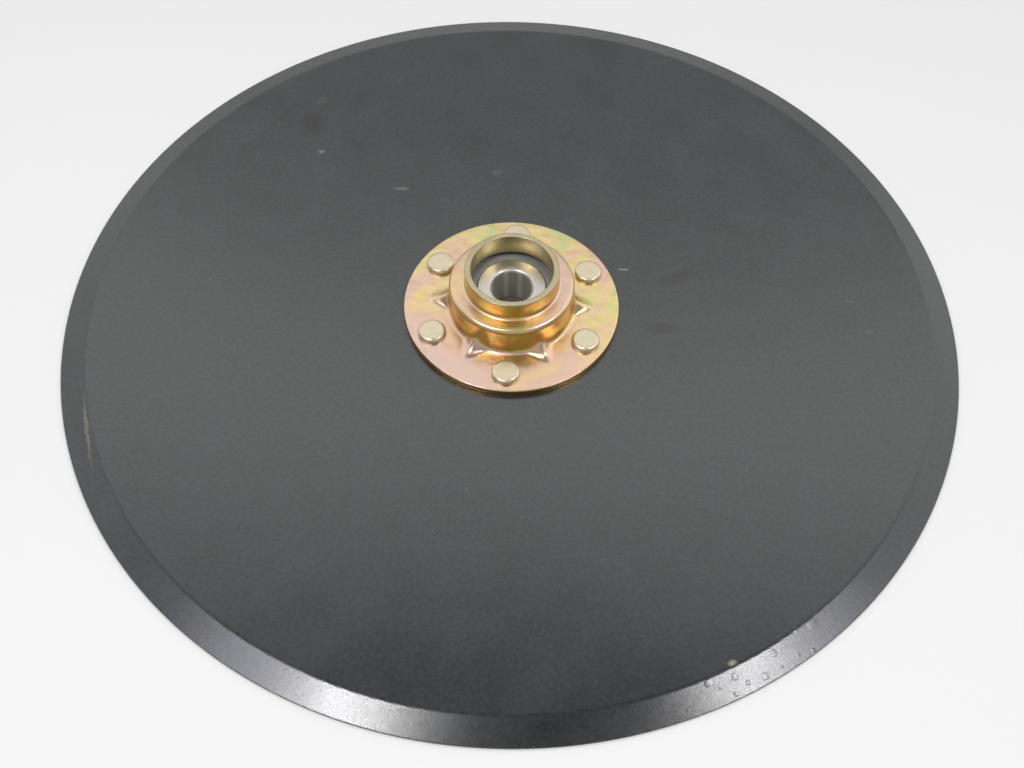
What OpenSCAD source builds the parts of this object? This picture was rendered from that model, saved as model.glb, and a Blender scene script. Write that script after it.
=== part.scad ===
// Planter disc opener: a flat steel blade, a pressed steel hub riveted to it, and a sealed ball
// bearing held between the two. The blade lies on its flat back, with the bearing's axis along +Z.

/* [Blade] */
// Diameter of the cutting edge
blade_d = 381; // [330:1:460]
// Thickness of the blade
blade_t = 3.5; // [3:0.1:5]
// Width of the ground bevel, measured along the radius
bevel_w = 10.5; // [6:0.5:16]
// Thickness left at the cutting edge
edge_t = 0.8; // [0.5:0.1:1.5]
// Diameter of the hole at the middle of the blade
blade_hole_d = 35; // [32:0.5:40]

/* [Hub] */
// Diameter of the hub's flange
flange_d = 92.2; // [86:0.1:100]
// Thickness of the hub's sheet
sheet_t = 3; // [2.2:0.1:3.4]
// Inner diameter of the collar that takes the dust cap
collar_bore_d = 34.6; // [31:0.1:37]
// Wall of the collar
collar_wall = 2.5; // [1.8:0.1:2.8]
// Height of the collar over the top of the cup
collar_h = 8.7; // [6:0.1:14]
// Fillet between the cup and the flange
foot_fillet = 2; // [1:0.1:3]
// Rounding of the cup's top edge
shoulder_round = 2; // [0.8:0.1:2.4]
// Fillet between the collar and the cup
collar_fillet = 1.2; // [0.6:0.1:1.6]
// Rounding of the inner edge where the cup turns up into the collar
lip_round = 3.5; // [1.5:0.1:4]
// Rounding of the cut edges of the sheet
sheet_edge_round = 0.4; // [0.2:0.1:0.6]

/* [Gussets] */
// Reach of a pressed gusset along the flange, from the cup's wall
gusset_reach = 9.2; // [7:0.1:11]
// Height of a gusset's crest over the flange, at the cup's wall
gusset_h = 5.2; // [4:0.1:7]
// Width of a gusset on the flange, beside the cup's wall
gusset_w = 12; // [9:0.5:16]
// Rounding of a gusset's crest
gusset_round = 2; // [1:0.1:3]

/* [Rivets] */
// Number of rivets, with one gusset between each two
rivet_count = 6; // [5:1:6]
// Diameter of a rivet's shank
rivet_d = 6.35; // [5:0.05:7]
// Diameter of a rivet's flat head
rivet_head_d = 12; // [9:0.1:13]
// Height of a rivet's flat head
rivet_head_h = 2.4; // [1.8:0.1:3.5]
// Rounding of the head's edge
rivet_head_round = 1.2; // [0.3:0.1:1.6]
// Diameter of the countersunk end, flush with the blade's back
rivet_tail_d = 10; // [8.5:0.1:11]

/* [Bearing] */
// Bore for the spindle bolt
bearing_bore_d = 17; // [15:0.1:18]
// Outer diameter
bearing_d = 47; // [46:0.1:50]
// Width of the outer ring; the inner ring is longer, and ends level with the blade's back
bearing_w = 14; // [13:0.1:17]
// Wall of the outer ring behind its raceway
outer_ring_wall = 2.73; // [2.2:0.01:3]
// Diameter of a ball
ball_d = 7.938; // [7.2:0.001:8]
// Number of balls
ball_count = 8; // [7:1:8]
// Depth of the raceway grooves under the rings' shoulders
race_depth = 1.7; // [1.2:0.1:1.8]
// Radius of a raceway's section over the ball's radius
race_conformity = 1.04; // [1.02:0.01:1.08]
// Rounding of the bore's edge on the collar's side
bore_round = 1.3; // [0.4:0.1:1.4]
// Rounding of the bore's edge at the blade's back
bore_back_round = 0.3; // [0.1:0.1:0.8]
// Chamfer of the outer ring's outer edges
ring_chamfer = 1; // [0.6:0.1:1.4]
// Chamfer of the inner ring's outer edges
shoulder_chamfer = 0.25; // [0.1:0.05:0.4]

/* [Cage] */
// Sheet of the two cage halves
cage_t = 0.6; // [0.4:0.05:0.7]
// Width of the cage along the radius
cage_w = 2.1; // [1.6:0.1:2.4]
// Diameter of the cage's rivets
cage_rivet_d = 1.1; // [0.8:0.1:1.3]
// Diameter of their heads
cage_rivet_head_d = 1.8; // [1.4:0.1:2]
// Height of their heads
cage_rivet_head_h = 0.4; // [0.2:0.05:0.5]

/* [Seals] */
// Sheet of the seal's steel case
case_t = 0.6; // [0.4:0.05:0.7]
// Drop from the case's inner band to its outer band
case_step = 0.6; // [0.4:0.05:0.7]
// Width of the case's inner band
case_band = 2; // [1.5:0.1:2.4]
// Thickness of the rubber behind the case
rubber_t = 0.5; // [0.3:0.05:0.6]
// Width of the rubber that shows between the case and the inner ring
lip_show = 0.3; // [0.2:0.05:0.4]
// Ledge in the outer ring that the seal is pressed onto
seal_ledge = 1.2; // [0.8:0.1:1.5]

/* [Fits] */
// Gap of a pressed or riveted fit
press_gap = 0.02; // [0:0.01:0.05]
// Gap round a rivet's shank and countersunk end
rivet_gap = 0.05; // [0.02:0.01:0.1]
// Running gap between a ball and its raceway
race_gap = 0.05; // [0.03:0.01:0.08]
// Running gap between a ball and its cage pocket
pocket_gap = 0.15; // [0.1:0.01:0.2]
// Running gap between the cage and a seal
seal_room = 0.28; // [0.2:0.01:0.4]
// Running gap between a seal's lip and the inner ring
seal_gap = 0.1; // [0.05:0.01:0.15]

/* [Hidden] */
$fn = 96;
web_lap = 0.05;
cut_lap = 1;

// Blade
blade_r = blade_d / 2;
bevel_r = blade_r - bevel_w;

// Bearing, seated on the blade
bearing_r = bearing_d / 2;
bore_r = bearing_bore_d / 2;
ball_r = ball_d / 2;
outer_race_r = bearing_r - outer_ring_wall;
pitch_r = outer_race_r - race_gap - ball_r;
bearing_mid_z = blade_t + bearing_w / 2;
face_z = bearing_w / 2;
race_r = ball_r * race_conformity;
inner_race_r = pitch_r - ball_r - race_gap;
inner_shoulder_r = inner_race_r + race_depth;
outer_shoulder_r = outer_race_r - race_depth;
seal_seat_r = outer_shoulder_r + seal_ledge;

// Seals and cage, measured from the bearing's middle plane
pocket_r = ball_r + pocket_gap;
seal_floor = pocket_r + cage_t + seal_room;
case_floor = seal_floor + rubber_t;
case_top = case_floor + case_t + case_step;
case_r = inner_shoulder_r + lip_show;
case_step_r = case_r + case_band;
seal_r = seal_seat_r - press_gap;

// Hub, seated on the blade and over the bearing
seat_r = bearing_r + press_gap;
seat_top_z = blade_t + bearing_w;
step_r = seat_r + sheet_t;
step_top_z = seat_top_z + sheet_t;
flange_r = flange_d / 2;
flange_top_z = blade_t + sheet_t;
collar_bore_r = collar_bore_d / 2;
collar_r = collar_bore_r + collar_wall;
rim_z = step_top_z + collar_h;
mouth_round = foot_fillet + sheet_t;
gusset_tip_r = step_r + gusset_reach;
hollow_tip_r = gusset_tip_r - sheet_t / 2;
gusset_slope = atan(gusset_h / gusset_reach);
gusset_flank = atan(gusset_w / 2 / (gusset_h * cos(gusset_slope)));

// Rivets
rivet_r = rivet_d / 2;
rivet_pitch_r = (step_r + foot_fillet + flange_r) / 2;
rivet_tail_r = rivet_tail_d / 2;
rivet_tail_h = rivet_tail_r - rivet_r;
rivet_step = 360 / rivet_count;
ball_step = 360 / ball_count;
ball_start = ball_step / 2;

BALL_NODES = [for (i = [1:ball_count]) str("ball_", i)];

// Web between two edges that meet at a right angle at [x, y] and the arc that rounds them.
// dx and dy, each 1 or -1, point from the corner to the arc's centre.
module corner_web(r, x, y, dx, dy) {
  translate([x, y])
    difference() {
      translate([dx > 0 ? -web_lap : -r, dy > 0 ? -web_lap : -r])
        square(r + web_lap);
      translate([dx * r, dy * r])
        circle(r);
    }
}

// Rectangle of a section, from the lower left corner to the upper right one
module section_box(low, high) {
  translate(low)
    square(high - low);
}

// Copies of the children round the axis
module around(count, start = 0) {
  for (i = [0:count - 1])
    rotate(start + i * 360 / count)
      children();
}

// The children set on the bearing's middle plane, upside down for side -1
module bearing_side(side) {
  translate([0, 0, bearing_mid_z])
    mirror([0, 0, side > 0 ? 0 : 1])
      children();
}

// Flat blade with a bevel on the hub's side, drilled and countersunk for the rivets
module disc_blade() {
  color("#3c3e40")
    difference() {
      rotate_extrude()
        polygon([
          [blade_hole_d / 2, 0],
          [blade_r, 0],
          [blade_r, edge_t],
          [bevel_r, blade_t],
          [blade_hole_d / 2, blade_t]
        ]);
      around(rivet_count, rivet_step / 2)
        translate([rivet_pitch_r, 0, 0]) {
          translate([0, 0, -cut_lap])
            cylinder(h = blade_t + 2 * cut_lap, r = rivet_r + rivet_gap);
          cylinder(h = rivet_tail_h, r1 = rivet_tail_r + rivet_gap, r2 = rivet_r + rivet_gap);
        }
    }
}

// Section of the pressed hub: flange, cup over the bearing, and collar
module hub_section() {
  difference() {
    union() {
      section_box([seat_r, blade_t], [flange_r, flange_top_z]);
      section_box([seat_r, blade_t], [step_r, step_top_z]);
      section_box([collar_bore_r, seat_top_z], [step_r, step_top_z]);
      section_box([collar_bore_r, seat_top_z], [collar_r, rim_z]);
      corner_web(foot_fillet, step_r, flange_top_z, 1, 1);
      corner_web(collar_fillet, collar_r, step_top_z, 1, 1);
    }
    corner_web(mouth_round, seat_r, blade_t, 1, 1);
    corner_web(lip_round, collar_bore_r, seat_top_z, 1, 1);
    corner_web(shoulder_round, step_r, step_top_z, -1, -1);
    corner_web(sheet_edge_round, flange_r, flange_top_z, -1, -1);
    corner_web(sheet_edge_round, collar_r, rim_z, -1, -1);
    corner_web(sheet_edge_round, collar_bore_r, rim_z, 1, -1);
  }
}

// Section across a gusset's crest: two flanks and a round crest that touches y = 0
module gusset_section() {
  touch = gusset_round * [cos(gusset_flank), sin(gusset_flank) - 1];
  depth = step_top_z - blade_t;
  foot = touch + depth * [tan(gusset_flank), -1];
  translate([0, -gusset_round])
    circle(gusset_round);
  polygon([touch, foot, [-foot[0], foot[1]], [-touch[0], touch[1]]]);
}

// Ridge that rises from tip_r, at height z, to the inside of the cup
module gusset_ridge(tip_r, z) {
  run = (tip_r - collar_bore_r) / cos(gusset_slope);
  translate([tip_r, 0, z])
    rotate([0, gusset_slope, 0])
      rotate([90, 0, -90])
        translate([0, 0, -cut_lap])
          linear_extrude(run)
            gusset_section();
}

// What a gusset adds to the hub, from the middle of the sheet outwards
module gusset() {
  intersection() {
    gusset_ridge(gusset_tip_r, flange_top_z);
    rotate_extrude()
      section_box(
        [seat_r + sheet_t / 2, blade_t + sheet_t / 2],
        [flange_r, step_top_z - shoulder_round]
      );
  }
}

// Pressed hub with its gussets, hollow behind as the press leaves them, drilled for the rivets
module hub_housing() {
  color("#d8c07a")
    difference() {
      union() {
        rotate_extrude()
          hub_section();
        around(rivet_count)
          gusset();
      }
      around(rivet_count)
        gusset_ridge(hollow_tip_r, blade_t);
      around(rivet_count, rivet_step / 2)
        translate([rivet_pitch_r, 0, blade_t - cut_lap])
          cylinder(h = sheet_t + 2 * cut_lap, r = rivet_r + rivet_gap);
    }
}

// One rivet: flat pressed head on the flange, shank, and countersunk end flush with the blade's back
module rivet() {
  head_top_z = flange_top_z + rivet_head_h;
  rotate_extrude()
    difference() {
      union() {
        section_box([0, 0], [rivet_r, flange_top_z]);
        section_box([0, flange_top_z], [rivet_head_d / 2, head_top_z]);
        polygon([[0, 0], [rivet_tail_r, 0], [rivet_r, rivet_tail_h], [0, rivet_tail_h]]);
      }
      corner_web(rivet_head_round, rivet_head_d / 2, head_top_z, -1, -1);
    }
}

module hub_rivets() {
  color("#d9cda6")
    around(rivet_count, rivet_step / 2)
      translate([rivet_pitch_r, 0, 0])
        rivet();
}

// Outer ring: raceway inside, and a ledge on each side for a seal
module bearing_outer_ring() {
  color("#8d8c8a")
    bearing_side(1)
      rotate_extrude()
        difference() {
          polygon([
            [outer_shoulder_r, -face_z],
            [bearing_r - ring_chamfer, -face_z],
            [bearing_r, ring_chamfer - face_z],
            [bearing_r, face_z - ring_chamfer],
            [bearing_r - ring_chamfer, face_z],
            [outer_shoulder_r, face_z]
          ]);
          section_box([0, seal_floor], [seal_seat_r, face_z]);
          section_box([0, -face_z], [seal_seat_r, -seal_floor]);
          translate([outer_race_r - race_r, 0])
            circle(race_r);
        }
}

// Inner ring: raceway outside, and the bore for the spindle bolt; it passes through the blade's hole
module bearing_inner_ring() {
  color("#b3aea6")
    bearing_side(1)
      rotate_extrude()
        difference() {
          polygon([
            [bore_r, -bearing_mid_z],
            [inner_shoulder_r - shoulder_chamfer, -bearing_mid_z],
            [inner_shoulder_r, shoulder_chamfer - bearing_mid_z],
            [inner_shoulder_r, face_z - shoulder_chamfer],
            [inner_shoulder_r - shoulder_chamfer, face_z],
            [bore_r, face_z]
          ]);
          corner_web(bore_round, bore_r, face_z, 1, -1);
          corner_web(bore_back_round, bore_r, -bearing_mid_z, 1, 1);
          translate([inner_race_r + race_r, 0])
            circle(race_r);
        }
}

// Ball number i, counted from 0
module bearing_ball(i) {
  color("#c9c9c9")
    rotate(ball_start + i * ball_step)
      translate([pitch_r, 0, bearing_mid_z])
        sphere(ball_r);
}

// One pressed half of the cage: a flat ribbon with a round pocket over each ball
module cage_half(side) {
  color("#a59a86")
    bearing_side(side)
      difference() {
        intersection() {
          rotate_extrude()
            section_box([pitch_r - cage_w / 2, 0], [pitch_r + cage_w / 2, pocket_r + cage_t]);
          union() {
            cylinder(h = cage_t, r = outer_shoulder_r);
            around(ball_count, ball_start)
              translate([pitch_r, 0, 0])
                sphere(pocket_r + cage_t);
          }
        }
        around(ball_count, ball_start)
          translate([pitch_r, 0, 0])
            sphere(pocket_r);
        around(ball_count)
          translate([pitch_r, 0, -cut_lap])
            cylinder(h = cage_t + 2 * cut_lap, r = cage_rivet_d / 2 + press_gap);
      }
}

// Small rivets that join the two halves of the cage between the balls
module cage_rivets() {
  color("#b5ab98")
    bearing_side(1)
      around(ball_count)
        translate([pitch_r, 0, 0])
          rotate_extrude() {
            section_box([0, -cage_t], [cage_rivet_d / 2, cage_t]);
            for (low = [cage_t, -cage_t - cage_rivet_head_h])
              section_box([0, low], [cage_rivet_head_d / 2, low + cage_rivet_head_h]);
          }
}

// Steel case of a seal: a raised band beside the inner ring and a lower band out to the ledge
module seal_case(side) {
  color("#77777a")
    bearing_side(side)
      rotate_extrude() {
        section_box([case_r, case_top - case_t], [case_step_r, case_top]);
        section_box([case_step_r - case_t, case_floor], [case_step_r, case_top]);
        section_box([case_step_r - case_t, case_floor], [seal_r, case_floor + case_t]);
      }
}

// Rubber behind the case, from the ledge in to the lip that runs on the inner ring
module seal_lip(side) {
  lip_r = inner_shoulder_r + seal_gap;
  color("#1b1b1c")
    bearing_side(side)
      rotate_extrude() {
        section_box([lip_r, seal_floor], [seal_r, case_floor]);
        section_box([lip_r, seal_floor], [case_step_r - case_t, case_top - case_t]);
        section_box([lip_r, seal_floor], [case_r, case_top - case_t / 2]);
      }
}

disc_blade();
hub_housing();
hub_rivets();
bearing_outer_ring();
bearing_inner_ring();
cage_half(1);  // cage_upper_half
cage_half(-1);  // cage_lower_half
cage_rivets();
seal_case(1);  // outer_seal_case
seal_lip(1);  // outer_seal_lip
seal_case(-1);  // inner_seal_case
seal_lip(-1);  // inner_seal_lip
for (i = [0:ball_count - 1])
  bearing_ball(i);
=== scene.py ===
import math

import bmesh
import bpy
from mathutils import Matrix, Vector, noise


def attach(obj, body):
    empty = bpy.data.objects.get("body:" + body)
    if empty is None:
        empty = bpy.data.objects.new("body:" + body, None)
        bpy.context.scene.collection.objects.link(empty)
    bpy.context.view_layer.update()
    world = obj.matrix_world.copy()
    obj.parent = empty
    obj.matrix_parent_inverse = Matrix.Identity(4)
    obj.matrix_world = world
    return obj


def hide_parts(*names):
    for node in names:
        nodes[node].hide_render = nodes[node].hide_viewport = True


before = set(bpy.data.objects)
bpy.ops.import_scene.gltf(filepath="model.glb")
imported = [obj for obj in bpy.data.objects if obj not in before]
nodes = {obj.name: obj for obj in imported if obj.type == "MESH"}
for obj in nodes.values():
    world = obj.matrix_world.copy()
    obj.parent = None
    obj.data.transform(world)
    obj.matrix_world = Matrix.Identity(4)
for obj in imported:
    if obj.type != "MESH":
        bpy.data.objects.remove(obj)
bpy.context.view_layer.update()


# Bearing rings
# Two rings of through-hardened bearing steel, turned and then ground on every face. The inner ring is
# clamped by the spindle bolt and stands still; the outer ring is pressed into the hub and turns with it.
MM = 0.001
BORE_EDGE_R = 9.1
BORE_WALL_R = 8.7
WHEEL_RING = 0.35
WHEEL_DEPTH = 0.004
OIL_PATCH = 6
PAINTED_STREAK_GAP = 6
# At a scale of 1, Blender's wave texture repeats after this length.
WAVE = math.tau / 20


def linear(hex_colour):
    """An sRGB hex colour as the linear colour that a shader takes."""
    shares = [int(hex_colour[i:i + 2], 16) / 255 for i in (1, 3, 5)]
    return [s / 12.92 if s <= 0.04045 else ((s + 0.055) / 1.055) ** 2.4 for s in shares] + [1.0]


def join(owner, node, inputs):
    """Sets or links the inputs of a material's or world's node."""
    for name, value in inputs.items():
        if isinstance(value, bpy.types.NodeSocket):
            owner.node_tree.links.new(value, node.inputs[name])
        else:
            node.inputs[name].default_value = value


def add(owner, kind, inputs, **settings):
    """Adds a node to a material or world, with its settings and its inputs."""
    node = owner.node_tree.nodes.new("ShaderNode" + kind)
    for name, value in settings.items():
        setattr(node, name, value)
    join(owner, node, inputs)
    return node


def finish_of(name, metallic, roughness):
    """A new material, and the shader that its patterns go to."""
    material = bpy.data.materials.new(name)
    material.use_nodes = True
    shader = material.node_tree.nodes["Principled BSDF"]
    join(material, shader, {"Metallic": metallic, "Roughness": roughness})
    return material, shader


def dress(node, material):
    """Gives a CAD node its material."""
    nodes[node].data.materials.clear()
    nodes[node].data.materials.append(material)


# Ground steel: a bright grey face with fine rings from the wheel, slightly warm from its oil film. In the
# bore it is less metallic and a darker grey, and paler streaks 6 mm apart are painted highlights of the
# lamps.
# The rings are about 0.05 mm apart on the real face, and are drawn at 0.35 mm so that they show.
bearing_steel, shader = finish_of("ground_bearing_steel", 1, 0.3)
place = add(bearing_steel, "TexCoord", {})
flat = add(bearing_steel, "VectorMath", {0: place.outputs["Object"], 1: (1, 1, 0)}, operation="MULTIPLY")
radius = add(bearing_steel, "VectorMath", {0: flat.outputs[0]}, operation="LENGTH")
rings = add(bearing_steel, "TexNoise",
            {"W": radius.outputs["Value"], "Scale": 1 / (WHEEL_RING * MM), "Detail": 2},
            noise_dimensions="1D")
film = add(bearing_steel, "TexNoise", {"Vector": place.outputs["Object"], "Scale": 1 / (OIL_PATCH * MM)})
face_tone = add(bearing_steel, "Mix",
                {0: film.outputs["Fac"], 6: linear("#c6c1b7"), 7: linear("#d4d0c8")}, data_type="RGBA")
# Paler streaks on the bore's wall are painted highlights of the lamps.
painted_streaks = add(bearing_steel, "TexWave",
              {"Vector": place.outputs["Object"], "Scale": WAVE / (PAINTED_STREAK_GAP * MM),
               "Distortion": 0.6, "Detail": 1})
painted_highlight = add(bearing_steel, "MapRange", {"Value": painted_streaks.outputs["Fac"], "From Min": 0.55})
bore_tone = add(bearing_steel, "Mix",
                {0: painted_highlight.outputs[0], 6: linear("#b0ada2"), 7: linear("#d3d0c6")}, data_type="RGBA")
in_bore = add(bearing_steel, "MapRange",
              {"Value": radius.outputs["Value"], "From Min": BORE_EDGE_R * MM, "From Max": BORE_WALL_R * MM})
tone = add(bearing_steel, "Mix",
           {0: in_bore.outputs[0], 6: face_tone.outputs[2], 7: bore_tone.outputs[2]}, data_type="RGBA")
bare = add(bearing_steel, "MapRange", {"Value": in_bore.outputs[0], "To Min": 1, "To Max": 0.3})
gloss = add(bearing_steel, "MapRange", {"Value": rings.outputs["Fac"], "To Min": 0.28, "To Max": 0.44})
wheel = add(bearing_steel, "Bump", {"Height": rings.outputs["Fac"], "Distance": WHEEL_DEPTH * MM})
join(bearing_steel, shader, {"Base Color": tone.outputs[2], "Metallic": bare.outputs[0],
                             "Roughness": gloss.outputs[0], "Normal": wheel.outputs[0]})
dress("bearing_inner_ring", bearing_steel)
dress("bearing_outer_ring", bearing_steel)


# Balls
# Eight balls of chrome steel, lapped to a mirror. They roll between the two rings, out of sight behind
# the seals, in a light film of grease.
BALL_COUNT = 8
GREASE_PATCH = 2.5

# Lapped steel: a pale mirror, slightly duller in patches where the grease lies.
ball_steel, shader = finish_of("lapped_ball_steel", 1, 0.08)
place = add(ball_steel, "TexCoord", {})
grease = add(ball_steel, "TexNoise",
             {"Vector": place.outputs["Object"], "Scale": 1 / (GREASE_PATCH * MM), "Detail": 3})
tone = add(ball_steel, "Mix",
           {0: grease.outputs["Fac"], 6: linear("#b9bab8"), 7: linear("#dcdddd")}, data_type="RGBA")
gloss = add(ball_steel, "MapRange", {"Value": grease.outputs["Fac"], "To Min": 0.04, "To Max": 0.2})
join(ball_steel, shader, {"Base Color": tone.outputs[2], "Roughness": gloss.outputs[0]})
for number in range(1, BALL_COUNT + 1):
    dress(f"ball_{number}", ball_steel)


# Ball cage
# Two wavy rings pressed from thin cold-rolled strip, closed round the balls and held together by eight
# small rivets between them. It keeps the balls apart and runs round with them.
ROLLED_GRAIN = 0.8

# Cold-rolled strip: a warm mid grey, with a fine uneven grain from the rolls.
cage_steel, shader = finish_of("cold_rolled_strip", 1, 0.4)
place = add(cage_steel, "TexCoord", {})
rolled = add(cage_steel, "TexNoise",
             {"Vector": place.outputs["Object"], "Scale": 1 / (ROLLED_GRAIN * MM), "Detail": 4})
tone = add(cage_steel, "Mix",
           {0: rolled.outputs["Fac"], 6: linear("#8c8478"), 7: linear("#b8b1a4")}, data_type="RGBA")
gloss = add(cage_steel, "MapRange", {"Value": rolled.outputs["Fac"], "To Min": 0.32, "To Max": 0.5})
join(cage_steel, shader, {"Base Color": tone.outputs[2], "Roughness": gloss.outputs[0]})
for node in ("cage_upper_half", "cage_lower_half", "cage_rivets"):
    dress(node, cage_steel)


# Seals
# One seal on each side of the bearing: a ring pressed from thin plated steel, snapped into the outer
# ring, with a black nitrile lip bonded to it that runs on the inner ring.
PRESS_RING = 0.6
PRESS_DEPTH = 0.01
BLOOM_PATCH = 1.5

# Dull zinc on pressed steel: mid grey, with faint rings from the press tool.
seal_steel, shader = finish_of("dull_zinc_on_pressed_steel", 0.4, 0.5)
place = add(seal_steel, "TexCoord", {})
flat = add(seal_steel, "VectorMath", {0: place.outputs["Object"], 1: (1, 1, 0)}, operation="MULTIPLY")
radius = add(seal_steel, "VectorMath", {0: flat.outputs[0]}, operation="LENGTH")
rings = add(seal_steel, "TexNoise",
            {"W": radius.outputs["Value"], "Scale": 1 / (PRESS_RING * MM), "Detail": 2},
            noise_dimensions="1D")
tone = add(seal_steel, "Mix",
           {0: rings.outputs["Fac"], 6: linear("#868786"), 7: linear("#a8a9a8")}, data_type="RGBA")
pressed = add(seal_steel, "Bump", {"Height": rings.outputs["Fac"], "Distance": PRESS_DEPTH * MM})
join(seal_steel, shader, {"Base Color": tone.outputs[2], "Normal": pressed.outputs[0]})
dress("outer_seal_case", seal_steel)
dress("inner_seal_case", seal_steel)

# Moulded nitrile: matt black, with a faint bloom.
seal_rubber, shader = finish_of("moulded_nitrile", 0, 0.62)
place = add(seal_rubber, "TexCoord", {})
bloom = add(seal_rubber, "TexNoise",
            {"Vector": place.outputs["Object"], "Scale": 1 / (BLOOM_PATCH * MM), "Detail": 4})
tone = add(seal_rubber, "Mix",
           {0: bloom.outputs["Fac"], 6: linear("#161616"), 7: linear("#262626")}, data_type="RGBA")
gloss = add(seal_rubber, "MapRange", {"Value": bloom.outputs["Fac"], "To Min": 0.5, "To Max": 0.75})
join(seal_rubber, shader, {"Base Color": tone.outputs[2], "Roughness": gloss.outputs[0]})
dress("outer_seal_lip", seal_rubber)
dress("inner_seal_lip", seal_rubber)


# Blade
# A flat round blade of hardened boron steel, blanked from sheet, with a bevel ground all round on the
# hub's side. It is painted all over before the hub is riveted on.
BLADE_R = 190.5
BEVEL_R = 180
BLADE_T = 3.5
EDGE_T = 0.8
BLADE_HOLE_R = 17.5
# The rivets' ends are flush with the back; the back is drawn this much higher so that they show.
BACK_Z = 0.04
# Gussets and rivets repeat six times round, so turned pieces are made as a sixth and its copies.
REPEATS = 6
ROUND_STEPS = 8
WELD = 0.0005


def turned(outline, rounds, spacing, steps):
    """A section of (radius, height) corners in mm, each rounded, turned a sixth of the way and copied."""
    work = bmesh.new()
    corners = [work.verts.new((r * MM, 0, z * MM)) for r, z in outline]
    for one, other in zip(corners, corners[1:] + corners[:1]):
        work.edges.new((one, other))
    for corner, size in zip(corners, rounds):
        if size:
            bmesh.ops.bevel(work, geom=[corner], offset=size * MM, offset_type="OFFSET",
                            affect="VERTICES", segments=ROUND_STEPS, profile=0.5, material=-1)
    for edge in list(work.edges):
        cuts = int(edge.calc_length() / (spacing * MM))
        if cuts:
            bmesh.ops.subdivide_edges(work, edges=[edge], cuts=cuts)
    bmesh.ops.spin(work, geom=work.verts[:] + work.edges[:], cent=(0, 0, 0), axis=(0, 0, 1),
                   angle=math.tau / REPEATS, steps=steps)
    sixth = work.verts[:] + work.edges[:] + work.faces[:]
    for number in range(1, REPEATS):
        copied = bmesh.ops.duplicate(work, geom=sixth)["geom"]
        bmesh.ops.rotate(work, verts=[part for part in copied if isinstance(part, bmesh.types.BMVert)],
                         cent=(0, 0, 0), matrix=Matrix.Rotation(math.tau * number / REPEATS, 3, "Z"))
    bmesh.ops.remove_doubles(work, verts=work.verts, dist=WELD * MM)
    bmesh.ops.recalc_face_normals(work, faces=work.faces)
    return work


def shown_piece(name, work, material, node):
    """Makes the piece that stands for a CAD node and turns with the disc."""
    mesh = bpy.data.meshes.new(name)
    for face in work.faces:
        face.smooth = True
    work.to_mesh(mesh)
    work.free()
    mesh.materials.append(material)
    piece = bpy.data.objects.new(name, mesh)
    bpy.context.scene.collection.objects.link(piece)
    piece.modifiers.new("even_shading", "WEIGHTED_NORMAL")
    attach(piece, "disc")
    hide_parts(node)


# Satin paint over ground steel: charcoal, mottled in spots of 1.6 mm where it dried thinner, in clouds of
# 22 mm, with a pale speck every 10 mm or so.
PAINT_CLOUD = 22
PAINT_MOTTLE = 1.6
PALE_SPECK_GAP = 10

blade_paint, shader = finish_of("satin_charcoal_paint", 0, 0.22)
join(blade_paint, shader, {"IOR": 1.65})
place = add(blade_paint, "TexCoord", {})
cloud = add(blade_paint, "TexNoise",
            {"Vector": place.outputs["Object"], "Scale": 1 / (PAINT_CLOUD * MM), "Detail": 4})
mottle = add(blade_paint, "TexNoise",
             {"Vector": place.outputs["Object"], "Scale": 1 / (PAINT_MOTTLE * MM), "Detail": 3})
spotty = add(blade_paint, "MapRange",
             {"Value": mottle.outputs["Fac"], "From Min": 0.25, "From Max": 0.75,
              "To Min": -0.5, "To Max": 0.5})
thick = add(blade_paint, "Math", {0: cloud.outputs["Fac"], 1: spotty.outputs[0]}, operation="ADD")
tone = add(blade_paint, "Mix",
           {0: thick.outputs[0], 6: linear("#1f2122"), 7: linear("#303233")}, data_type="RGBA")
gloss = add(blade_paint, "MapRange", {"Value": cloud.outputs["Fac"], "To Min": 0.18, "To Max": 0.27})
speck_cells = add(blade_paint, "TexVoronoi", {"Vector": place.outputs["Object"], "Scale": 1 / (PALE_SPECK_GAP * MM)})
speck = add(blade_paint, "MapRange",
            {"Value": speck_cells.outputs["Distance"], "From Min": 0.014, "From Max": 0.024,
             "To Min": 0.5, "To Max": 0})
tone = add(blade_paint, "Mix",
           {0: speck.outputs[0], 6: tone.outputs[2], 7: linear("#a5a5a2")}, data_type="RGBA")

# What handling has left, each as x, y, half length, half width, turn and colour, with an edge that is
# ragged by up to 2.5 mm.
MARKS = (
    # Smudges where oil darkens the paint
    (-103, 105, 10, 7, 115, "#191a1a"),
    (71, 21, 14, 5, 27, "#1c1d1d"),
    (64, -7, 11, 4.5, 5, "#1d1e1e"),
    # Rubs and scuffs that lighten it
    (-101, 121, 5, 3, 60, "#363737"),
    (-12, 79, 4, 2.2, 0, "#3e3f3f"),
    (146, 14, 3, 0.8, -5, "#424343"),
    (153, -2, 3, 0.9, 0, "#3e3f3f"),
    (-55, 65.5, 5.5, 1.2, 0, "#545554"),
    (-96, 86, 1.8, 1, 0, "#6c6d6c"),
    (48, 24.5, 3, 0.7, 8, "#7c7d7c"),
    # On the bevel's corner, a chip and a long scrape down to the primer
    (89.4, -155, 2.4, 1.4, 20, "#8b8370"),
    (-165.4, -75, 24, 1, -70.5, "#5d584c"),
)
MARK_DEPTH = 3
RAGGED = 2.5
uneven = add(blade_paint, "TexNoise",
             {"Vector": place.outputs["Object"], "Scale": 1 / (RAGGED * MM), "Detail": 3})
ragged = add(blade_paint, "VectorMath",
             {0: uneven.outputs["Color"], 1: (RAGGED * MM, RAGGED * MM, 0), 2: place.outputs["Object"]},
             operation="MULTIPLY_ADD")
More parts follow.
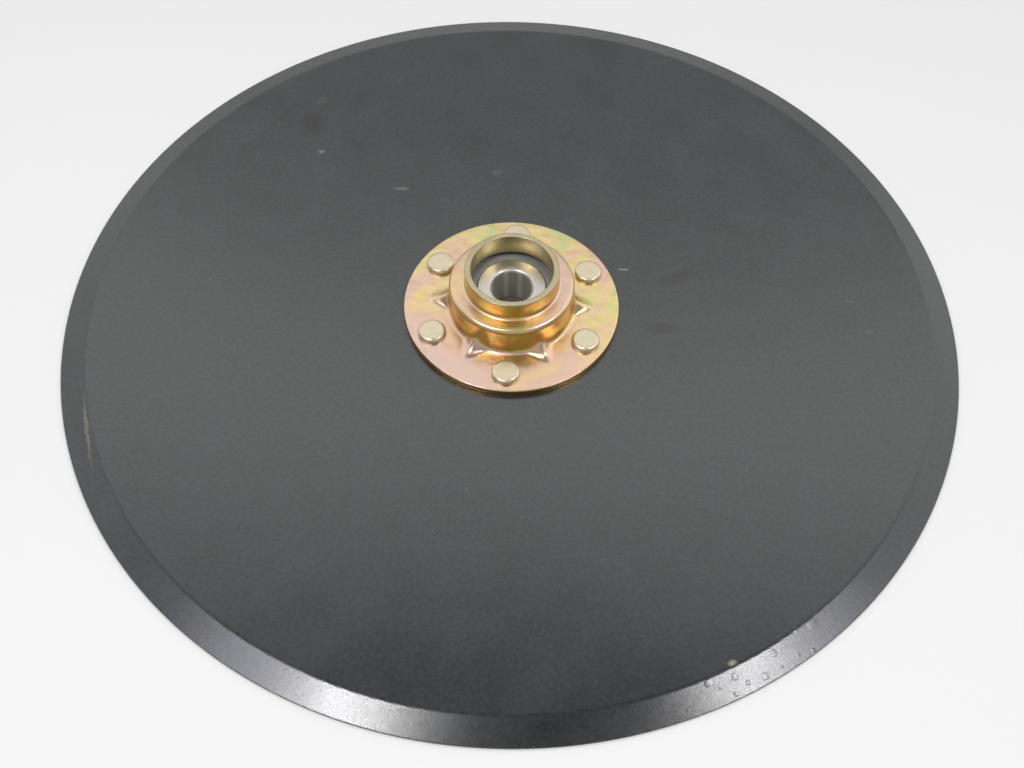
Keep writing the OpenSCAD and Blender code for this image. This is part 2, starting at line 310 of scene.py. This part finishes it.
for x, y, length, width, turn, colour in MARKS:
    spot = add(blade_paint, "Mapping",
               {"Vector": ragged.outputs[0], "Rotation": (0, 0, math.radians(turn)),
                "Location": ((x + RAGGED / 2) * MM, (y + RAGGED / 2) * MM, BLADE_T * MM),
                "Scale": (length * MM, width * MM, MARK_DEPTH * MM)}, vector_type="TEXTURE")
    reach = add(blade_paint, "VectorMath", {0: spot.outputs[0]}, operation="LENGTH")
    mark = add(blade_paint, "MapRange", {"Value": reach.outputs["Value"], "From Min": 1, "From Max": 0.3},
               interpolation_type="SMOOTHSTEP")
    tone = add(blade_paint, "Mix",
               {0: mark.outputs[0], 6: tone.outputs[2], 7: linear(colour)}, data_type="RGBA")

# The paint's skin has a fine orange peel of 0.6 mm cells, deeper on the bevel.
PEEL_CELL = 0.6
PEEL_DEPTH = 0.02
flat = add(blade_paint, "VectorMath", {0: place.outputs["Object"], 1: (1, 1, 0)}, operation="MULTIPLY")
radius = add(blade_paint, "VectorMath", {0: flat.outputs[0]}, operation="LENGTH")
on_bevel = add(blade_paint, "MapRange",
               {"Value": radius.outputs["Value"], "From Min": BEVEL_R * MM, "From Max": (BEVEL_R + 1) * MM})
peel = add(blade_paint, "TexNoise",
           {"Vector": place.outputs["Object"], "Scale": 1 / (PEEL_CELL * MM), "Detail": 2})
depth = add(blade_paint, "MapRange", {"Value": on_bevel.outputs[0], "To Min": 0.6, "To Max": 1})
skin = add(blade_paint, "Bump", {"Height": peel.outputs["Fac"], "Strength": depth.outputs[0],
                                 "Distance": PEEL_DEPTH * MM})

# Drops that dried on the bevel have left low blisters in the paint: where each lies, and its radius.
BLISTERS = (
    (104, -150, 2), (118.9, -137.5, 2.5), (101.1, -158.2, 1.7), (80.6, -162.9, 1.7), (90.2, -159.6, 1.5),
    (95, -161.1, 1), (90.8, -165.2, 1.2), (113.5, -149.4, 1), (119.2, -146.9, 0.9), (112.5, -140.4, 1.3),
    (84.8, -164.1, 0.6), (107.6, -154.2, 0.6), (73.5, -172.5, 0.7),
)
BLISTER_H = 0.035
BLISTER_TOP = 0.4
raised = None
for x, y, size in BLISTERS:
    reach = add(blade_paint, "VectorMath", {0: flat.outputs[0], 1: (x * MM, y * MM, 0)}, operation="DISTANCE")
    drop = add(blade_paint, "MapRange",
               {"Value": reach.outputs["Value"], "From Min": size * MM, "From Max": BLISTER_TOP * size * MM},
               interpolation_type="SMOOTHSTEP")
    raised = add(blade_paint, "Math", {0: drop.outputs[0], 1: raised.outputs[0] if raised else 0},
                 operation="MAXIMUM")
blistered = add(blade_paint, "Bump", {"Height": raised.outputs[0], "Distance": BLISTER_H * MM,
                                      "Normal": skin.outputs[0]})

# Through the paint of the bevel the arcs of the grinding wheel show. The real ones are finer, and they are
# drawn 0.9 mm apart so that they can be seen.
ARC_X = 29
ARC_Y = 14
ARC_GAP = 0.9
ARC_DEPTH = 0.012
swept = add(blade_paint, "VectorMath", {0: place.outputs["Object"], 1: (ARC_X * MM, ARC_Y * MM, 0)},
            operation="SUBTRACT")
arcs = add(blade_paint, "TexWave",
           {"Vector": swept.outputs[0], "Scale": WAVE / (ARC_GAP * MM), "Distortion": 2, "Detail": 2,
            "Detail Scale": 0.3}, wave_type="RINGS", rings_direction="Z")
wheel = add(blade_paint, "Bump", {"Height": arcs.outputs["Fac"], "Strength": on_bevel.outputs[0],
                                  "Distance": ARC_DEPTH * MM, "Normal": blistered.outputs[0]})
join(blade_paint, shader, {"Base Color": tone.outputs[2], "Roughness": gloss.outputs[0],
                           "Normal": wheel.outputs[0]})

blade = turned(
    outline=[(BLADE_HOLE_R, BACK_Z), (BLADE_R, BACK_Z), (BLADE_R, EDGE_T), (BEVEL_R, BLADE_T),
             (BLADE_HOLE_R, BLADE_T)],
    rounds=[0.3, 0.2, 0.2, 0.8, 0.3],
    spacing=20,
    steps=70,
)
shown_piece("painted_blade", blade, blade_paint, "disc_blade")


# Hub
# One pressing of 3 mm steel: a flange on the blade, a cup over the bearing and a collar for a dust cap.
# Six gussets are struck from inside between cup and flange, and the whole is zinc plated and passivated.
SHEET_T = 3
FLANGE_R = 46.1
FLANGE_Z = BLADE_T + SHEET_T
CUP_R = 26.52
SEAT_R = 23.52
SEAT_Z = 17.5
STEP_Z = 20.5
COLLAR_R = 19.8
COLLAR_BORE_R = 17.3
RIM_Z = 29.2
FOOT_FILLET = 2
SHOULDER_ROUND = 2

hub = turned(
    outline=[(SEAT_R, BLADE_T), (FLANGE_R, BLADE_T), (FLANGE_R, FLANGE_Z), (CUP_R, FLANGE_Z),
             (CUP_R, STEP_Z), (COLLAR_R, STEP_Z), (COLLAR_R, RIM_Z), (COLLAR_BORE_R, RIM_Z),
             (COLLAR_BORE_R, SEAT_Z), (SEAT_R, SEAT_Z)],
    rounds=[5, 0.3, 0.5, FOOT_FILLET, SHOULDER_ROUND, 1.2, 0.5, 0.3, 3.5, 0],
    spacing=0.5,
    steps=60,
)

# A gusset is a ridge from the flange up to the cup's wall. What lies under it is pushed out to its round
# crest and its flanks, whose feet run out softly, and the struck metal is then smoothed.
GUSSET_REACH = 6.6
GUSSET_H = 5
GUSSET_HALF_W = 4
GUSSET_CREST = 1.8
GUSSET_FOOT = 2
GUSSET_SAG = 0.3
GUSSET_MARGIN = 0.1
SMOOTH_PASSES = 3
slope = math.atan2(GUSSET_H, GUSSET_REACH)
flank = GUSSET_H * math.cos(slope) / GUSSET_HALF_W
crest_up = Vector((math.sin(slope), 0, math.cos(slope)))
crest_in = Vector((-math.cos(slope), 0, math.sin(slope)))
struck = []
for corner in hub.verts:
    angle = math.atan2(corner.co.y, corner.co.x)
    turn = Matrix.Rotation(round(angle / (math.tau / REPEATS)) * math.tau / REPEATS, 3, "Z")
    spot = turn.inverted() @ corner.co / MM
    outside = math.hypot(spot.x, spot.y) > CUP_R - GUSSET_MARGIN
    if outside and FLANGE_Z - GUSSET_MARGIN < spot.z < STEP_Z - SHOULDER_ROUND:
        from_tip = spot - Vector((CUP_R + GUSSET_REACH, 0, FLANGE_Z))
        along = min(max(crest_in.dot(from_tip) * math.cos(slope) / GUSSET_REACH, 0), 1)
        ridge = GUSSET_CREST * flank - flank * math.hypot(spot.y, GUSSET_CREST)
        lift = ridge - GUSSET_SAG * 4 * along * (1 - along) - crest_up.dot(from_tip)
        blend = max(GUSSET_FOOT - abs(lift), 0) / GUSSET_FOOT
        lift = max(lift, 0) + blend * blend * GUSSET_FOOT / 4
        if lift > 0:
            corner.co = turn @ (spot + crest_up * lift) * MM
            struck.append(corner)
for number in range(SMOOTH_PASSES):
    bmesh.ops.smooth_vert(hub, verts=struck, factor=0.5, use_axis_x=True, use_axis_y=True, use_axis_z=True)

# Yellow passivated zinc: a thin clear film over bright metal, whose hue goes from pink through straw to
# green with its thickness, in clouds of about 14 mm. It is thicker where it ran off to one side, orange
# to olive on the upright walls, thinner and paler inside the collar, and worn to champagne on the rim.
FILM_CLOUD = 14
FILM_RUN = (2, 7, 0)
FILM_RUN_TOP_Z = 16
FILM_RUN_FULL_Z = 8
FILM_HUES = ((0.3, "#d2b4a0"), (0.5, "#d8ba97"), (0.68, "#d7c28e"), (0.86, "#d1c58a"))
WALL_STREAK = 9
# How far from the collar's bore and from its rim their own tones begin, and where they are full.
INSIDE_FROM = 1.1
INSIDE_FULL = 0.3
RIM_FROM = 0.6
RIM_FULL = 0.2
yellow_zinc, shader = finish_of("yellow_passivated_zinc", 1, 0.3)
place = add(yellow_zinc, "TexCoord", {})
spot = add(yellow_zinc, "SeparateXYZ", {0: place.outputs["Object"]})
facing = add(yellow_zinc, "SeparateXYZ", {0: place.outputs["Normal"]})
cloud = add(yellow_zinc, "TexNoise",
            {"Vector": place.outputs["Object"], "Scale": 1 / (FILM_CLOUD * MM), "Detail": 2,
             "Distortion": 0.5})
patchy = add(yellow_zinc, "MapRange",
             {"Value": cloud.outputs["Fac"], "From Min": 0.3, "From Max": 0.7, "To Min": 0.1, "To Max": 0.8})
run_off = add(yellow_zinc, "VectorMath", {0: place.outputs["Object"], 1: FILM_RUN}, operation="DOT_PRODUCT")
on_flange = add(yellow_zinc, "MapRange",
                {"Value": spot.outputs["Z"], "From Min": FILM_RUN_TOP_Z * MM,
                 "From Max": FILM_RUN_FULL_Z * MM})
film = add(yellow_zinc, "Math",
           {0: run_off.outputs["Value"], 1: on_flange.outputs[0], 2: patchy.outputs[0]},
           operation="MULTIPLY_ADD")
hue = add(yellow_zinc, "ValToRGB", {"Fac": film.outputs[0]})
hue.color_ramp.elements[0].color = linear("#d1b6aa")
hue.color_ramp.elements[1].color = linear("#c2c48d")
for thickness, colour in FILM_HUES:
    hue.color_ramp.elements.new(thickness).color = linear(colour)
streak = add(yellow_zinc, "TexNoise",
             {"Vector": place.outputs["Object"], "Scale": 1 / (WALL_STREAK * MM), "Detail": 2})
olive = add(yellow_zinc, "MapRange", {"Value": streak.outputs["Fac"], "From Min": 0.36, "From Max": 0.64})
wall = add(yellow_zinc, "Mix",
           {0: olive.outputs[0], 6: linear("#dda866"), 7: linear("#bfb65c")}, data_type="RGBA")
upright = add(yellow_zinc, "MapRange", {"Value": facing.outputs["Z"], "From Min": 0.75, "From Max": 0.2},
              interpolation_type="SMOOTHSTEP")
tone = add(yellow_zinc, "Mix",
           {0: upright.outputs[0], 6: hue.outputs["Color"], 7: wall.outputs[2]}, data_type="RGBA")
flat = add(yellow_zinc, "VectorMath", {0: place.outputs["Object"], 1: (1, 1, 0)}, operation="MULTIPLY")
radius = add(yellow_zinc, "VectorMath", {0: flat.outputs[0]}, operation="LENGTH")
inside = add(yellow_zinc, "MapRange",
             {"Value": radius.outputs["Value"], "From Min": (COLLAR_BORE_R + INSIDE_FROM) * MM,
              "From Max": (COLLAR_BORE_R + INSIDE_FULL) * MM})
tone = add(yellow_zinc, "Mix",
           {0: inside.outputs[0], 6: tone.outputs[2], 7: linear("#c9b886")}, data_type="RGBA")
on_rim = add(yellow_zinc, "MapRange",
             {"Value": spot.outputs["Z"], "From Min": (RIM_Z - RIM_FROM) * MM,
              "From Max": (RIM_Z - RIM_FULL) * MM})
tone = add(yellow_zinc, "Mix",
           {0: on_rim.outputs[0], 6: tone.outputs[2], 7: linear("#b3a888")}, data_type="RGBA")

# Its skin has the fine grain of the plating, 0.5 mm across, over the low waves of drawn sheet, 6 mm across.
PLATING_GRAIN = 0.5
PLATING_DEPTH = 0.015
DRAWN_WAVE = 6
DRAWN_DEPTH = 0.25
grain = add(yellow_zinc, "TexNoise",
            {"Vector": place.outputs["Object"], "Scale": 1 / (PLATING_GRAIN * MM), "Detail": 3})
gloss = add(yellow_zinc, "MapRange", {"Value": grain.outputs["Fac"], "To Min": 0.26, "To Max": 0.38})
drawn = add(yellow_zinc, "TexNoise",
            {"Vector": place.outputs["Object"], "Scale": 1 / (DRAWN_WAVE * MM), "Detail": 1})
wavy = add(yellow_zinc, "Bump", {"Height": drawn.outputs["Fac"], "Distance": DRAWN_DEPTH * MM})
skin = add(yellow_zinc, "Bump", {"Height": grain.outputs["Fac"], "Distance": PLATING_DEPTH * MM,
                                 "Normal": wavy.outputs[0]})
join(yellow_zinc, shader, {"Base Color": tone.outputs[2], "Roughness": gloss.outputs[0],
                           "Normal": skin.outputs[0]})
shown_piece("pressed_hub", hub, yellow_zinc, "hub_housing")


# Hub rivets
# Six quarter-inch steel rivets, plated like the hub. Their flat heads clamp the flange, and their ends
# are pressed into countersinks, flush with the blade's back.
RIVET_R = 3.175
RIVET_PITCH_R = 37.31
RIVET_HEAD_R = 6
RIVET_TOP_R = 5.8
RIVET_HEAD_H = 2.4
RIVET_TOP_Z = FLANGE_Z + RIVET_HEAD_H
RIVET_TAIL_R = 5
# The hammer leaves each head uneven from 1 mm over the flange up, in dents of its own.
DENT_FROM_H = 1
DENT_SIZE = 3
DENT_DEPTH = 0.06
DENT_SHIFT = 7

rivets = bmesh.new()
for number in range(REPEATS):
    rivet = turned(
        outline=[(0, 0), (RIVET_TAIL_R, 0), (RIVET_R, RIVET_TAIL_R - RIVET_R), (RIVET_R, FLANGE_Z),
                 (RIVET_HEAD_R, FLANGE_Z), (RIVET_TOP_R, RIVET_TOP_Z), (0, RIVET_TOP_Z)],
        rounds=[0, 0, 0, 0, 0.3, 1.2, 0],
        spacing=0.5,
        steps=12,
    )
    for corner in rivet.verts:
        if corner.co.z > (FLANGE_Z + DENT_FROM_H) * MM:
            seed = corner.co / (DENT_SIZE * MM) + Vector((DENT_SHIFT * number, 0, 0))
            corner.co.z -= DENT_DEPTH * MM * (1 + noise.noise(seed))
    bmesh.ops.transform(rivet, verts=rivet.verts, matrix=Matrix.Translation((RIVET_PITCH_R * MM, 0, 0)))
    bmesh.ops.rotate(rivet, verts=rivet.verts, cent=(0, 0, 0),
                     matrix=Matrix.Rotation(math.tau * (number + 0.5) / REPEATS, 3, "Z"))
    one_rivet = bpy.data.meshes.new("one_rivet")
    rivet.to_mesh(one_rivet)
    rivet.free()
    rivets.from_mesh(one_rivet)
    bpy.data.meshes.remove(one_rivet)

# The same zinc on the rivets: paler, with a fine speckle from the barrel they were plated in.
SPECKLE = 0.5
SPECKLE_DEPTH = 0.04
rivet_zinc, shader = finish_of("barrel_plated_yellow_zinc", 1, 0.34)
place = add(rivet_zinc, "TexCoord", {})
speckle = add(rivet_zinc, "TexNoise",
              {"Vector": place.outputs["Object"], "Scale": 1 / (SPECKLE * MM), "Detail": 3})
tone = add(rivet_zinc, "Mix",
           {0: speckle.outputs["Fac"], 6: linear("#c5b999"), 7: linear("#ddd2bb")}, data_type="RGBA")
gloss = add(rivet_zinc, "MapRange", {"Value": speckle.outputs["Fac"], "To Min": 0.26, "To Max": 0.42})
skin = add(rivet_zinc, "Bump", {"Height": speckle.outputs["Fac"], "Distance": SPECKLE_DEPTH * MM})
join(rivet_zinc, shader, {"Base Color": tone.outputs[2], "Roughness": gloss.outputs[0],
                          "Normal": skin.outputs[0]})
shown_piece("struck_rivets", rivets, rivet_zinc, "hub_rivets")


# Floor
# A plain pale sheet that the disc lies on, wide enough to fill every view. It fades to the backdrop's white
# far off, lies a tenth of a millimetre lower than the disc's back, and has a painted shadow under the bore.
FLOOR_R = 8000
FLOOR_Z = -0.1
FLOOR_CLOUD = 300
BORE_SHADOW_R = 9.4
BORE_SHADOW_EDGE_R = 10
FADE_FROM = 500
FADE_TO = 1300
BACKDROP_WHITE = 0.9

floor_mesh = bpy.data.meshes.new("pale_floor")
work = bmesh.new()
bmesh.ops.create_circle(work, cap_ends=True, segments=96, radius=FLOOR_R * MM,
                        matrix=Matrix.Translation((0, 0, FLOOR_Z * MM)))
work.to_mesh(floor_mesh)
work.free()
floor = bpy.data.objects.new("pale_floor", floor_mesh)
bpy.context.scene.collection.objects.link(floor)

# Matt white sheet: an even pale tone with no gloss, hardly clouded.
pale_sheet, shader = finish_of("matt_white_sheet", 0, 0.9)
place = add(pale_sheet, "TexCoord", {})
cloud = add(pale_sheet, "TexNoise", {"Vector": place.outputs["Object"], "Scale": 1 / (FLOOR_CLOUD * MM)})
tone = add(pale_sheet, "Mix",
           {0: cloud.outputs["Fac"], 6: linear("#dfdfdd"), 7: linear("#e3e3e1")}, data_type="RGBA")
away = add(pale_sheet, "VectorMath", {0: place.outputs["Object"]}, operation="LENGTH")
# A painted shadow darkens the sheet under the bore, where the disc shades it.
painted_bore_shadow = add(pale_sheet, "MapRange",
                 {"Value": away.outputs["Value"], "From Min": BORE_SHADOW_EDGE_R * MM, "From Max": BORE_SHADOW_R * MM})
tone = add(pale_sheet, "Mix",
           {0: painted_bore_shadow.outputs[0], 6: tone.outputs[2], 7: linear("#62605a")}, data_type="RGBA")
join(pale_sheet, shader, {"Base Color": tone.outputs[2]})
fade = add(pale_sheet, "MapRange",
           {"Value": away.outputs["Value"], "From Min": FADE_FROM * MM, "From Max": FADE_TO * MM},
           interpolation_type="SMOOTHSTEP")
path = add(pale_sheet, "LightPath", {})
shown = add(pale_sheet, "Math", {0: path.outputs["Is Camera Ray"], 1: path.outputs["Is Glossy Ray"]},
            operation="MAXIMUM")
shown = add(pale_sheet, "Math", {0: shown.outputs[0], 1: path.outputs["Is Transmission Ray"]},
            operation="MAXIMUM")
far_part = add(pale_sheet, "Math", {0: fade.outputs[0], 1: shown.outputs[0]}, operation="MULTIPLY")
white = add(pale_sheet, "Emission", {"Color": linear("#ffffff"), "Strength": BACKDROP_WHITE})
sheet = add(pale_sheet, "MixShader", {0: far_part.outputs[0], 1: shader.outputs[0], 2: white.outputs[0]})
join(pale_sheet, pale_sheet.node_tree.nodes["Material Output"], {"Surface": sheet.outputs[0]})
floor_mesh.materials.append(pale_sheet)


# Light
# A soft room whose walls are told apart by direction: brightest part way up on the far side, even at both
# sides, dimmer in front, dark overhead, and plain white at the foot of its walls. Two softboxes, each a
# bright middle with a dimmer cloth round it, give the bevel its two highlights.
ROOM_DIM = 0.2
ROOM_BRIGHT = 1.85
FAR_SHARE = 0.37
LOW_SHARE = 1.5
OVERHEAD_SHARE = 0.1
LEFT_LEVEL = 1.15
RIGHT_LEVEL = 1.42
FRONT_LEVEL = 0.6
# The view is turned by this much round the disc, and the lamps turn with it.
VIEW_TURN = Matrix.Rotation(math.radians(2.8), 4, "Z")

scene = bpy.context.scene
scene.view_settings.view_transform = "Standard"
world = bpy.data.worlds.new("soft_room")
scene.world = world
world.use_nodes = True
place = add(world, "TexCoord", {})
toward = add(world, "SeparateXYZ", {0: place.outputs["Generated"]})
ahead = add(world, "MapRange", {"Value": toward.outputs["Y"], "From Min": 0.25, "From Max": 0.5,
                                "To Min": ROOM_DIM, "To Max": ROOM_BRIGHT})
far_wall = add(world, "MapRange", {"Value": toward.outputs["Y"], "From Min": 0.56, "From Max": 0.7,
                                   "To Min": 1, "To Max": FAR_SHARE}, interpolation_type="SMOOTHSTEP")
low_wall = add(world, "MapRange", {"Value": toward.outputs["Z"], "From Min": 0.35, "From Max": 0.05,
                                   "To Min": 1, "To Max": LOW_SHARE}, interpolation_type="SMOOTHSTEP")
overhead = add(world, "MapRange", {"Value": toward.outputs["Z"], "From Min": 0.88, "From Max": 0.945,
                                   "To Min": 1, "To Max": OVERHEAD_SHARE}, interpolation_type="SMOOTHSTEP")
room = ahead
for shade in (far_wall, low_wall, overhead):
    room = add(world, "Math", {0: room.outputs[0], 1: shade.outputs[0]}, operation="MULTIPLY")
aside = add(world, "Math", {0: toward.outputs["X"]}, operation="ABSOLUTE")
side_wall = add(world, "MapRange", {"Value": aside.outputs[0], "From Min": 0.4, "From Max": 0.58},
                interpolation_type="SMOOTHSTEP")
side_end = add(world, "MapRange", {"Value": toward.outputs["Y"], "From Min": -0.1, "From Max": 0.15},
               interpolation_type="SMOOTHSTEP")
side = add(world, "Math", {0: side_wall.outputs[0], 1: side_end.outputs[0]}, operation="MULTIPLY")
side_light = add(world, "MapRange", {"Value": toward.outputs["X"], "From Min": -0.6, "From Max": 0.6,
                                     "To Min": LEFT_LEVEL, "To Max": RIGHT_LEVEL})
room = add(world, "Mix", {0: side.outputs[0], 2: room.outputs[0], 3: side_light.outputs[0]},
           data_type="FLOAT")
front_end = add(world, "MapRange", {"Value": toward.outputs["Y"], "From Min": -0.45, "From Max": -0.65},
                interpolation_type="SMOOTHSTEP")
front_top = add(world, "MapRange", {"Value": toward.outputs["Z"], "From Min": 0.68, "From Max": 0.55},
                interpolation_type="SMOOTHSTEP")
front = add(world, "Math", {0: front_end.outputs[0], 1: front_top.outputs[0]}, operation="MULTIPLY")
room = add(world, "Mix", {0: front.outputs[0], 2: room.outputs[0], 3: FRONT_LEVEL}, data_type="FLOAT")
path = add(world, "LightPath", {})
shown = add(world, "Math", {0: path.outputs["Is Camera Ray"], 1: path.outputs["Is Glossy Ray"]},
            operation="MAXIMUM")
shown = add(world, "Math", {0: shown.outputs[0], 1: path.outputs["Is Transmission Ray"]},
            operation="MAXIMUM")
wall_foot = add(world, "MapRange", {"Value": toward.outputs["Z"], "From Min": 0.15, "From Max": 0.1})
backdrop = add(world, "Math", {0: wall_foot.outputs[0], 1: shown.outputs[0]}, operation="MULTIPLY")
seen = add(world, "Mix", {0: backdrop.outputs[0], 2: room.outputs[0], 3: BACKDROP_WHITE},
           data_type="FLOAT")
join(world, world.node_tree.nodes["Background"], {"Color": linear("#ffffff"), "Strength": seen.outputs[0]})

# Each lamp as its name, place and width in metres, power in watts and colour.
LAMPS = (
    ("left_softbox", (-0.365, -0.345, 1.149), 0.22, 4.4, "#ffffff"),
    ("left_cloth", (-0.568, -0.25, 1.097), 0.42, 2.2, "#f1f1ff"),
    ("right_softbox", (0.572, -0.245, 1.097), 0.225, 3.1, "#ffffff"),
    ("right_cloth", (0.7, -0.15, 1.045), 0.36, 1.3, "#f1f1ff"),
)
for name, spot, width, power, colour in LAMPS:
    lamp = bpy.data.lights.new(name, "AREA")
    lamp.shape = "DISK"
    lamp.size = width
    lamp.energy = power
    lamp.color = linear(colour)[:3]
    holder = bpy.data.objects.new(name, lamp)
    holder.location = VIEW_TURN @ Vector(spot)
    holder.rotation_euler = holder.location.to_track_quat("Z", "Y").to_euler()
    scene.collection.objects.link(holder)


# Camera
# Set where a camera fitted to the blade's round edge stands: half a metre off, looking down at the hub.
CAMERA_SPOT = Vector((0.92, -321.53, 415.17)) * MM
CAMERA_TILT = math.radians(90 - 55.663)
CAMERA_ROLL = math.radians(1.148)
CAMERA_FILM_W = 36
CAMERA_LENS = 42.48

eye = bpy.data.cameras.new("camera")
eye.sensor_width = CAMERA_FILM_W
eye.lens = CAMERA_LENS
camera = bpy.data.objects.new("camera", eye)
camera.matrix_world = (VIEW_TURN @ Matrix.Translation(CAMERA_SPOT) @ Matrix.Rotation(CAMERA_TILT, 4, "X")
                       @ Matrix.Rotation(CAMERA_ROLL, 4, "Z"))
scene.collection.objects.link(camera)
scene.camera = camera
